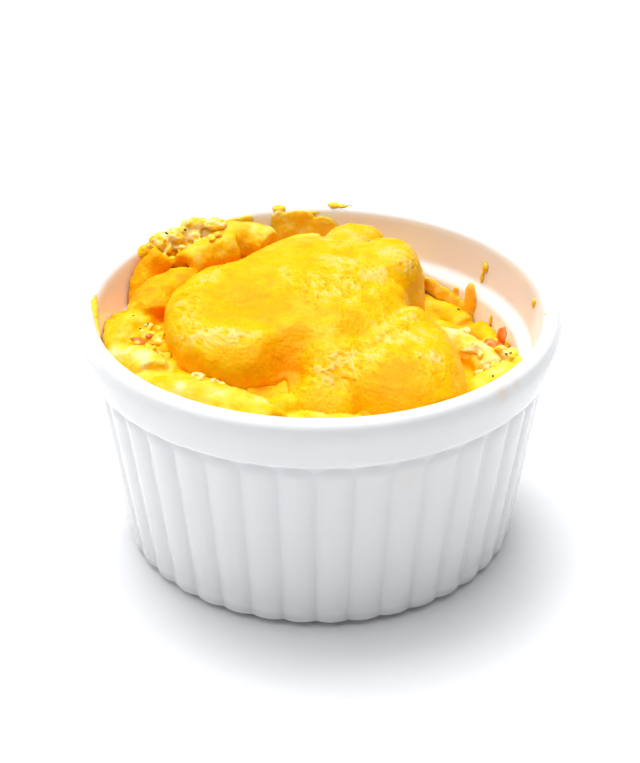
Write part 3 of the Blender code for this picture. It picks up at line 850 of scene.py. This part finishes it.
# Each row is x, y, z, turns about X, Y and Z, bend radius, bend in degrees, tube radius, tint and bore.
ELBOWS = (
    (-17.5, -31, 41, 0, 0, -27, 27, 52, 4.3, 0.28, OPEN),  # lies along the rim at the front left
    (-35.8, -4.2, 41.3, 50, 0, 66, 6.4, 165, 3.4, 0.42, FILLED),  # arches up beside the wall on the left
    (-31.6, -16.6, 41.2, 10, -12, -52, 12, 60, 3.4, 0.22, FILLED),
    (-30.2, 8.2, 41, 15, 0, 62, 10, 95, 5.2, 0.78, FILLED),  # the fat knee at the back left
    (-33.6, 17, 41.6, 0, -50, 62, 14, 48, 3.2, 0.62, FILLED),
    (-31, 24.6, 43.2, 0, 16, 40, 10, 60, 3.2, 0.70, FILLED),
    (-26.5, 29.5, 44.2, 20, -14, 20, 9, 70, 3, 0.15, FILLED),
    (-22, 22.5, 44.4, 0, -8, 32, 14, 50, 3.2, 0.40, FILLED),
    (-15.6, 29.6, 44.2, 30, 0, -8, 11, 60, 3.9, 0.26, FILLED),
    (-26, -22, 39.6, 20, 10, 15, 12, 60, 3.6, 0.75, FILLED),
    (-28.5, -6, 39.4, 25, 8, 80, 12, 70, 3.4, 0.60, FILLED),
    (-2, -34.5, 38.6, 15, 0, 8, 18, 50, 3.6, 0.35, FILLED),
    (26.5, -1, 35.2, 10, 14, -24, 13, 65, 4, 0.16, OPEN),
    (33.6, -6, 32.8, 30, 0, 70, 9, 80, 3.2, 0.35, FILLED),
    (29.5, -17, 35.6, 15, -8, 48, 14, 60, 3.6, 0.30, OPEN),
    (26.5, -24.5, 37, -20, 5, 30, 10, 60, 3.2, 0.60, FILLED),
    (32.8, 9, 29.4, 0, 0, 105, 20, 45, 3.5, 0.52, FILLED),
    (25, 14, 29.8, 25, 0, 150, 11, 80, 3.5, 0.55, OPEN),
    (24, 26, 28.8, 0, 0, -38, 22, 45, 3.5, 0.45, FILLED),
    (13.5, 31, 34, 20, 12, 160, 12, 70, 3.7, 0.45, OPEN),
    (3, 35, 35.2, 0, 0, -4, 26, 42, 3.6, 0.60, FILLED),
    (-7, 31.5, 39.4, 15, -10, 30, 12, 70, 3.7, 0.35, OPEN),
)
BEND, TUBE, TINT = 7, 8, 9  # the columns of a row that are needed one by one
ELBOW_SIDES = 20
ELBOW_RINGS = 14  # between the rims of its two ends
RIM_ROUNDING = 0.25  # of the tube's radius
BORE_DEPTH = 3.2  # in radii of the bore
SCATTERED_ELBOWS = 16
LEAST_SPACE = 5.5  # in millimetres, between the middles of two scattered ones
BED_STEPS = 240
BED_RINGS = 40
BED_DEPTH = 5.0 * MM
BED_UNDER_RINGS = (12, 26, -1)  # the top rings that are copied, lower down, for its underside
MACARONI_GRAIN = 0.34 * MM


def elbow_line(place, angle):
    """A point on an elbow's middle line, with the direction out of its bend and the one square to that."""
    x, y, z, turn_x, turn_y, turn_z, bend_radius = place[:7]
    turn = Euler([math.radians(t) for t in (turn_x, turn_y, turn_z)]).to_matrix()
    along = turn @ Vector((math.sin(angle), math.cos(angle) - 1.0, 0.0)) * bend_radius
    outward = turn @ Vector((math.sin(angle), math.cos(angle), 0.0))
    return (Vector((x, y, z)) + along) * MM, outward, turn @ Vector((0.0, 0.0, 1.0))


def elbow_rings(place):
    """Rings of a hollow elbow: out of one bore, round its rim, along the outside and into the other."""
    bend_radius, bend, tube, _, bore_share = place[6:]
    half = math.radians(bend) / 2.0
    lip = RIM_ROUNDING * tube / bend_radius
    bore_depth = BORE_DEPTH * bore_share * tube / bend_radius
    rim_share = (1.0 + bore_share) / 2.0
    end = [(half - bore_depth, 0.6 * bore_share), (half - lip, bore_share), (half, bore_share + 0.1)]
    end += [(half + 0.3 * lip, rim_share), (half, 0.92), (half - lip, 1.0)]
    stations = [(-angle, share) for angle, share in end]
    stations += [(angle, 1.0) for angle in np.linspace(-half + 2 * lip, half - 2 * lip, ELBOW_RINGS)]
    stations += end[::-1]
    turns = around(ELBOW_SIDES)
    rings = []
    for angle, share in stations:
        middle, outward, side = elbow_line(place, angle)
        off = np.cos(turns)[:, None] * np.array(outward) + np.sin(turns)[:, None] * np.array(side)
        rings.append(np.array(middle) + off * tube * share * MM)
    return press_in(rings)


def scattered_elbows(count):
    """Elbows between the others, half sunk in the sauce, where the cheese doesn't hide them."""
    chance = random.Random(7)
    found = []
    while len(found) < count:
        angle = chance.uniform(0.0, math.tau)
        reach = chance.uniform(22.0, 38.0)
        x, y = reach * math.cos(angle), reach * math.sin(angle)
        turns = (chance.uniform(-30, 30), chance.uniform(-25, 25), chance.uniform(0, 360))
        sizes = (chance.uniform(9, 15), chance.uniform(50, 80), chance.uniform(3.1, 3.7))
        depth = chance.uniform(0.8, 2.4)
        tint = chance.uniform(0.3, 0.85)
        bore = chance.choice((OPEN, FILLED, FILLED))
        apart = min([math.hypot(x - e[0], y - e[1]) for e in found] or [math.inf])
        if in_cheese(x * MM, y * MM) > 1.05 and apart > LEAST_SPACE:
            z = float(heap_level(x * MM, y * MM)) / MM - depth
            found.append((x, y, z, *turns, *sizes, tint, bore))
    return found


elbows = [*ELBOWS, *scattered_elbows(SCATTERED_ELBOWS)]
top = round_top(BED_STEPS, BED_RINGS, 0.0)
bed = top[::-1]
for ring in (press_in(top[0]), *[top[i] for i in BED_UNDER_RINGS]):
    bed.append(ring - UP * BED_DEPTH)
macaroni = add_piece("macaroni_in_sauce", [skin(bed), *[skin(elbow_rings(place)) for place in elbows]])
run_together(macaroni, MACARONI_GRAIN, 2)
print("The macaroni has", len(elbows), "elbows and", len(macaroni.data.polygons), "faces")

# %% [markdown]
# ## The macaroni: sauce and colour
#
# The sauce lies thick in some places and leaves the pale pasta nearly bare in others. Each point takes the
# tint of the nearest elbow, softened by noise, and hollows between elbows fill with more sauce. Sides and
# undersides are painted deeper orange as painted shade. The sauce's own lumps are relief. Under the cheese
# everything is pressed down, so that nothing pokes through it.

# %% The macaroni: sauce and colour
LINE_POINTS = 7  # along an elbow's middle line, to find the elbow nearest to a point
HOLLOW_TINT = 0.56
TINT_NOISE = 0.30
SAUCE_LUMP_HEIGHT = 0.35  # heights of the relief in millimetres
SMALL_SAUCE_LUMP_HEIGHT = 0.20
FOLD_HEIGHTS = (0.05, 0.25)  # on an elbow, and how much more between them
LID_THICKNESS = 1.2 * MM  # what lies under the cheese stays this far below its top
lines = KDTree(len(elbows) * LINE_POINTS)
for number, place in enumerate(elbows):
    half = math.radians(place[BEND]) / 2.0
    for step, angle in enumerate(np.linspace(-half, half, LINE_POINTS)):
        lines.insert(elbow_line(place, angle)[0], number * LINE_POINTS + step)
lines.balance()
points = get_rows(macaroni, "co")
found = [lines.find(Vector(point)) for point in points]
nearest = [elbows[index // LINE_POINTS] for _, index, _ in found]
elbow_tint = np.array([elbow[TINT] for elbow in nearest])
off_line = np.array([away / (elbow[TUBE] * MM) for elbow, (_, _, away) in zip(nearest, found)])
between_elbows = ease((off_line - 1.05) / 0.5)
facing_up = ease((get_rows(macaroni, "normal")[:, 2] + 0.3) / 1.1)
own_tint = elbow_tint + (HOLLOW_TINT - elbow_tint) * between_elbows
# Painted shade: sides and undersides go deeper orange.
own_tint = own_tint + 0.25 * (1.0 - facing_up) + TINT_NOISE * ripple(points, 2.8 * MM, 21.0)
relief = SAUCE_LUMP_HEIGHT * ripple(points, 3.6 * MM, 22.0)
relief = relief + SMALL_SAUCE_LUMP_HEIGHT * ripple(points, 1.5 * MM, 23.0)
relief = relief + (FOLD_HEIGHTS[0] + FOLD_HEIGHTS[1] * between_elbows) * creases(points, 1.5 * MM, 24.0)
points = raised(macaroni, relief)
under = in_cheese(points[:, 0], points[:, 1]) < 0.97
lid = cheese_top(points[:, 0], points[:, 1]) - LID_THICKNESS
points[:, 2] = np.where(under, np.minimum(points[:, 2], lid), points[:, 2])
set_points(macaroni, press_in(points))
store(macaroni, "tint", own_tint)

SAUCE_COLOURS = ((0.0, "F4DC9C"), (0.2, "F4CE44"), (0.45, "F6BE08"), (0.7, "F8AA00"), (1.0, "F89400"))
pasta = wet_food("pasta_in_cheese_sauce", SAUCE_COLOURS, 0.4)
macaroni.data.materials.append(pasta)
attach(macaroni, "root")
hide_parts("macaroni_heap")
print(f"The heap stands {1000 * (points[:, 2].max() + FOOT_HEIGHT):.1f} mm above the table")

# %% [markdown]
# ## What lies under the macaroni
#
# The dish is full to its floor, so a plain core of pasta and sauce goes from there up to just under the
# elbows. It needs few rings, because only its shape counts.

# %% What lies under the macaroni
CORE_STEPS = 96
CORE_TOP_RINGS = 8
CORE_DEPTH = 3.5 * MM  # its top lies this far under the level of the heap
CORE_CORNER_TURNS = (90, 60, 30, 0)
CORE_WALL_SHARES = (0.3, 0.5, 0.7, 0.85)  # of the way from its rounded corner up to its top
core_top = round_top(CORE_STEPS, CORE_TOP_RINGS, -CORE_DEPTH)
core = []
for degrees in CORE_CORNER_TURNS:
    radius, height = floor_corner(degrees)
    ring = np.array(core_top[0])
    ring[:, :2] *= ((radius - WALL_CLEARANCE) / np.hypot(ring[:, 0], ring[:, 1]))[:, None]
    ring[:, 2] = height + WALL_CLEARANCE
    core.append(ring)
corner_end = core[-1]
for share in CORE_WALL_SHARES:
    core.append(press_in(corner_end + share * (core_top[0] - corner_end)))
core_piece = add_piece("sauce_core", [skin(core + core_top)])
store(core_piece, "tint", np.full(len(core_piece.data.vertices), HOLLOW_TINT))
core_piece.data.materials.append(pasta)
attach(core_piece, "root")
print("The core has", len(core_piece.data.polygons), "faces")

# %% [markdown]
# ## Sauce on the wall
#
# Stirring and serving left smears of sauce on the inside of the dish, a few drops on its lip and one on the
# outside of the rim. Each smear is a row of flat blobs pressed on the wall, run together at a fine grain. A
# blob's place is its angle round the dish and its height, so that it always sits on the glaze.

# %% Sauce on the wall
SMEARS = (  # angle in degrees, height, half width, half height and thickness in millimetres
    (96.5, 42.6, 4.6, 3.4, 0.8),  # the broad smear at the back
    (89.5, 41.6, 3.8, 3, 0.8),
    (99.5, 40.6, 3.6, 2.8, 0.8),
    (92.5, 40, 4.2, 2.6, 0.8),
    (102, 43.2, 1.8, 2.8, 0.6),
    (101.5, 44.9, 1.5, 0.8, 0.5),
    (94, 45, 3.2, 0.5, 0.4),
    (87.5, 40.9, 2.6, 2.2, 0.7),
    (112, 44.6, 2, 1.2, 0.5),  # the ones to its left
    (115.5, 44.2, 2.6, 1.6, 0.6),
    (119, 43.8, 2.8, 1.8, 0.6),
    (123, 43.4, 2.6, 1.6, 0.6),
    (127, 43.6, 2, 1.2, 0.5),
    (35.7, 34.6, 1.8, 4.2, 0.8),  # the splash at the right, with its drawn-out tip
    (35.6, 38.6, 0.5, 1.6, 0.4),
    (35, 41, 0.8, 1.2, 0.6),
    (35.9, 41.9, 0.4, 0.8, 0.4),
    (38.5, 32, 3.4, 1.9, 0.7),  # the line that the sauce left along the wall
    (43, 32.5, 3.8, 1.8, 0.7),
    (48, 33.2, 3.8, 1.8, 0.7),
    (53, 34, 3.8, 1.8, 0.7),
    (58, 34.6, 3.4, 1.7, 0.6),
    (42.3, 34.6, 0.9, 1.5, 0.3),
    (6.2, 42.9, 0.7, 1.1, 0.4),
    (24.3, 33.2, 0.4, 1.6, 0.4),
    (-9.5, 34.5, 3.4, 2.6, 1.3),  # sauce that fills the gap beside the crumbs
)
LIP_DROPS = (  # angle in degrees, distance from the middle, height, half length and half width
    (86, 42.9, 46.05, 1.4, 1.2),
    (83.5, 42.7, 46.05, 1.3, 0.8),
    (81.7, 43, 46.05, 0.8, 0.5),
    (65, 43.2, 46.05, 0.6, 0.4),
    (101.5, 42.4, 45.9, 1.6, 1.2),
    (-7, 41.8, 45.6, 0.6, 0.4),
    (178.6, 42, 45.75, 1.6, 0.5),
    (-179.2, 42, 45.7, 2, 0.8),
    (-176.6, 41.8, 45.6, 2.2, 0.9),
    (-173.4, 41.6, 45.4, 2.4, 0.8),
    (-169.4, 41.4, 45.2, 2.6, 0.6),
    (-165, 41.3, 45.1, 2.4, 0.4),
    (-43, 44.6, 44.4, 0.7, 0.4),
)


SMEAR_GRAIN = 0.22 * MM
SMEAR_LUMP_HEIGHT = 0.18  # in millimetres
BALL_SIDES = 16
BALL_RINGS = 9


def ball(middle, axes, size):
    """Points and faces of an ellipsoid with three half lengths along three directions."""
    turns = around(BALL_SIDES)
    rings = []
    for tilt in np.radians(np.linspace(-80.0, 80.0, BALL_RINGS)):
        local = rows(math.cos(tilt) * np.cos(turns), math.cos(tilt) * np.sin(turns), math.sin(tilt))
        rings.append(np.asarray(middle) + (local * np.asarray(size)) @ np.asarray(axes))
    return skin(rings)


def smear(degrees, height, half_width, half_height, thickness):
    """A flat blob on the inside of the dish."""
    outward, sideways = directions_at(degrees)
    middle = inner_radius(height * MM) * outward + UP * height * MM
    return ball(middle, [sideways, UP, -outward], np.array([half_width, half_height, thickness]) * MM)


def lip_drop(degrees, reach, height, half_length, half_width):
    """A flattened drop on the lip of the dish, drawn out along it."""
    outward, sideways = directions_at(degrees)
    size = np.array([half_length, half_width, 0.5 * half_width]) * MM
    return ball((reach * outward + height * UP) * MM, [sideways, outward, UP], size)


blobs = [smear(*place) for place in SMEARS] + [lip_drop(*place) for place in LIP_DROPS]
wall_sauce = add_piece("sauce_on_the_wall", blobs)
run_together(wall_sauce, SMEAR_GRAIN, 4)
points = raised(wall_sauce, SMEAR_LUMP_HEIGHT * ripple(get_rows(wall_sauce, "co"), 1.4 * MM, 41.0))
set_points(wall_sauce, points)
store(wall_sauce, "tint", 0.26 + 0.08 * ripple(points, 3.0 * MM, 42.0))
wall_sauce.data.materials.append(pasta)
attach(wall_sauce, "root")
print("The smears have", len(wall_sauce.data.polygons), "faces")

# %% [markdown]
# ## Crumbs of cheese
#
# Grated cheese that didn't quite melt stays as pale, curdy crumbs in the sauce and against the wall. Each
# cluster is a handful of small balls round one place. Run together and roughened, they look like curds. A
# ray sent down from above finds the food under each ball, so that it rests on it however the food was
# shaped.

# %% Crumbs of cheese
CRUMB_CLUSTERS = (  # x, y, lift over the food, spread, how many, size in millimetres, and tint
    (-34.4, 19.6, 0.3, 2, 8, 1.35, 0.36),
    (-32, 23.4, 0.6, 2.4, 9, 1.70, 0.22),
    (-29, 26.2, 0.8, 2.6, 10, 1.80, 0.12),
    (-26, 28.6, 0.8, 2.4, 9, 1.60, 0.16),
    (-23.4, 30, 0.6, 2, 7, 1.35, 0.22),
    (-24.8, 25, 0.4, 2.4, 9, 1.20, 0.16),
    (-28.4, 21.6, 0.2, 2, 8, 1.05, 0.30),
    (-19.8, 29.4, 0.4, 2.2, 8, 1.30, 0.20),
    (-20.5, 23.6, 0.1, 2.2, 8, 0.80, 0.30),
    (-30.6, -5.4, 0.1, 1.4, 9, 0.75, 0.15),
    (-31, -9.6, 0.1, 1.8, 12, 0.80, 0.26),
    (-29.2, -10, 0, 1.6, 9, 0.90, 0.30),
    (-29.4, -13.6, 0, 1.6, 9, 0.90, 0.32),
    (-21.8, -25, 0, 1.4, 9, 0.66, 0.20),
    (-17.6, -26.8, 0, 1.6, 11, 0.66, 0.14),
    (-13.2, -27.8, 0, 1.6, 11, 0.66, 0.18),
    (35.4, -3, 0.9, 2.4, 16, 1.35, 0.20),
    (34.4, -7.4, 0.2, 1.6, 8, 1.00, 0.26),
    (33.8, 6.4, 0.9, 1.6, 9, 1.45, 0.46),
    (30.6, -10.4, 0.1, 2, 10, 1.10, 0.22),
    (28.8, -5, 0.1, 1.8, 10, 1.00, 0.14),
    (27.4, 1.6, 0, 1.4, 9, 0.70, 0.08),
)


RAY_START = 100.0 * MM  # well above all food


def find_foods(pieces):
    """The surfaces of some pieces, ready for rays to meet."""
    found = []
    for piece in pieces:
        polygons = [tuple(face.vertices) for face in piece.data.polygons]
        found.append(BVHTree.FromPolygons([v.co for v in piece.data.vertices], polygons))
    return found


def rest_on(foods, x, y):
    """The highest point of the food at a place."""
    start = Vector((x * MM, y * MM, RAY_START))
    hits = [food.ray_cast(start, Vector(-UP))[0] for food in foods]
    return np.array(max((hit for hit in hits if hit), key=lambda hit: hit.z))


CRUMB_CLEARANCE = 0.8  # heights and distances in millimetres
CRUMB_GRAIN = 0.26 * MM
CRUMB_LUMP_HEIGHT = 0.30
SMALL_CRUMB_LUMP_HEIGHT = 0.12
CRUMB_HOLLOW_DEPTH = 0.22
foods = find_foods((macaroni, cheese))
chance = random.Random(11)
crumbs = []
crumb_tints = KDTree(sum(count for *_, count, _, _ in CRUMB_CLUSTERS))
tints = []
for x, y, lift, spread, count, size, tint in CRUMB_CLUSTERS:
    for _ in range(count):
        place_x, place_y = chance.gauss(x, 0.5 * spread), chance.gauss(y, 0.5 * spread)
        wall = float(inner_radius(heap_level(place_x * MM, place_y * MM))) / MM - CRUMB_CLEARANCE
        inside = min(1.0, wall / math.hypot(place_x, place_y))
        middle = rest_on(foods, place_x * inside, place_y * inside)
        radius = size * chance.uniform(0.6, 1.15) * MM
        middle = press_in(middle + UP * chance.uniform(0.0, lift + 0.2) * MM)
        turns = (chance.uniform(-0.5, 0.5), chance.uniform(-0.5, 0.5), chance.uniform(0.0, math.tau))
        shape = [radius * chance.uniform(0.9, 1.5), radius, radius * chance.uniform(0.5, 0.8)]
        crumbs.append(ball(middle, np.array(Euler(turns).to_matrix()), shape))
        crumb_tints.insert(Vector(middle), len(tints))
        tints.append(tint)
crumb_tints.balance()
crumb_piece = add_piece("cheese_crumbs", crumbs)
run_together(crumb_piece, CRUMB_GRAIN, 5)
points = get_rows(crumb_piece, "co")
hollows = np.abs(ripple(points, 1.1 * MM, 52.0))
relief = CRUMB_LUMP_HEIGHT * ripple(points, 1.6 * MM, 51.0)
relief = relief + SMALL_CRUMB_LUMP_HEIGHT * ripple(points, 0.8 * MM, 54.0) - CRUMB_HOLLOW_DEPTH * hollows
points = raised(crumb_piece, relief)
set_points(crumb_piece, press_in(points))
own_tint = np.array([tints[crumb_tints.find(Vector(point))[1]] for point in points])
# Painted shade: the hollows of the crumbs go deeper orange.
store(crumb_piece, "tint", own_tint + 0.25 * ripple(points, 2.0 * MM, 53.0) + 0.9 * hollows - 0.22)
crumb_piece.data.materials.append(pasta)
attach(crumb_piece, "root")
print("The crumbs have", len(crumb_piece.data.polygons), "faces")

# %% [markdown]
# ## Pepper and herbs
#
# A few bits of red pepper and some dark flecks of herb and black pepper lie in the sauce. Each is a small
# uneven body of its own. The pepper is wet and glossy, and the flecks are duller. Each rests on the food
# under it, found as for the crumbs.

# %% Pepper and herbs
PEPPER_BITS = (  # x, y, three half lengths in millimetres, and turn in degrees
    (32.4, -1.2, 2.1, 1.6, 1.4, 20),
    (34.2, -0.6, 1.3, 1, 1, -30),
    (34.9, 5.6, 0.7, 1.6, 2, 15),
    (-32.6, -11.2, 1.7, 0.8, 0.6, -15),
    (-30.8, -10.2, 0.9, 0.6, 0.4, 40),
)
HERB_FLECKS = (  # x, y, and half length in millimetres
    (-30.2, 23.8, 0.38),
    (-26.8, 26.2, 0.42),
    (-33.6, 21.6, 0.30),
    (-32.8, -6.6, 0.34),
    (-31.4, -5.8, 0.28),
    (-34.4, -3.4, 0.25),
    (33.8, -6, 0.40),
    (34.7, -5.6, 0.36),
    (35.5, -5.2, 0.32),
    (35.6, -1, 0.28),
    (-18, 10.5, 0.26),
    (-19.2, 8.6, 0.22),
    (9.5, 17.4, 0.24),
    (12, 33, 0.35),
    (28, 22, 0.35),
    (-10, 34.5, 0.35),
    (31, -17, 0.30),
)
PEPPER_COLOURS = ((0.3, "C04A10"), (0.5, "E87820"), (0.7, "F4A050"))
HERB_COLOURS = ((0.35, "3A2408"), (0.65, "6E5A18"))
UNEVENNESS = 0.35
foods = find_foods((macaroni, cheese, crumb_piece))


def uneven_body(middle, turns, size, seed):
    """A small uneven body."""
    turn = Euler([math.radians(t) for t in turns]).to_matrix()
    points, faces = ball((0.0, 0.0, 0.0), np.eye(3), np.array(size) * MM)
    points = points * (1.0 + UNEVENNESS * ripple(points, 0.9 * MM, seed))[:, None]
    return points @ np.array(turn).T + middle, faces


bits = []
for number, (x, y, length, width, height, degrees) in enumerate(PEPPER_BITS):
    middle = rest_on(foods, x, y) + UP * 0.25 * height * MM
    bits.append(uneven_body(middle, (10.0, 15.0, degrees), (length, width, height), 61.0 + number))
pepper = add_piece("pepper_bits", bits)
red, shader = new_material("cooked_red_pepper")
cloud = pattern(red, 1.43 * MM, 3.0)
bump = add_node(red, "ShaderNodeBump", {"Height": cloud, "Strength": 0.4, "Distance": 0.15 * MM})
set_inputs(
    red,
    shader,
    {
        "Base Color": colour_ramp(red, cloud, PEPPER_COLOURS),
        "Normal": bump.outputs[0],
        "Roughness": 0.28,
        "IOR": 1.40,
        "Subsurface Weight": 0.3,
        "Subsurface Radius": (1.0, 0.3, 0.1),
        "Subsurface Scale": 0.6 * MM,
    },
)
pepper.data.materials.append(red)
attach(pepper, "root")

flecks = []
for number, (x, y, size) in enumerate(HERB_FLECKS):
    turns = (40.0 * math.sin(number), 35.0 * math.cos(number), 50.0 * number)
    flecks.append(uneven_body(rest_on(foods, x, y), turns, (size, 0.7 * size, 0.4 * size), 71.0 + number))
herbs = add_piece("herb_flecks", flecks)
dried, shader = new_material("dried_herb")
cloud = pattern(dried, 0.4 * MM, 2.0)
set_inputs(dried, shader, {"Base Color": colour_ramp(dried, cloud, HERB_COLOURS), "Roughness": 0.45})
herbs.data.materials.append(dried)
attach(herbs, "root")
print("There are", len(bits), "bits of pepper and", len(flecks), "flecks of herb")

# %% [markdown]
# ## Finish
#
# Until here every height was measured from the fluting's lower edge.

# %% Finish
for piece in (ramekin, cheese, macaroni, core_piece, wall_sauce, crumb_piece, pepper, herbs):
    set_points(piece, get_rows(piece, "co") + UP * FOOT_HEIGHT)
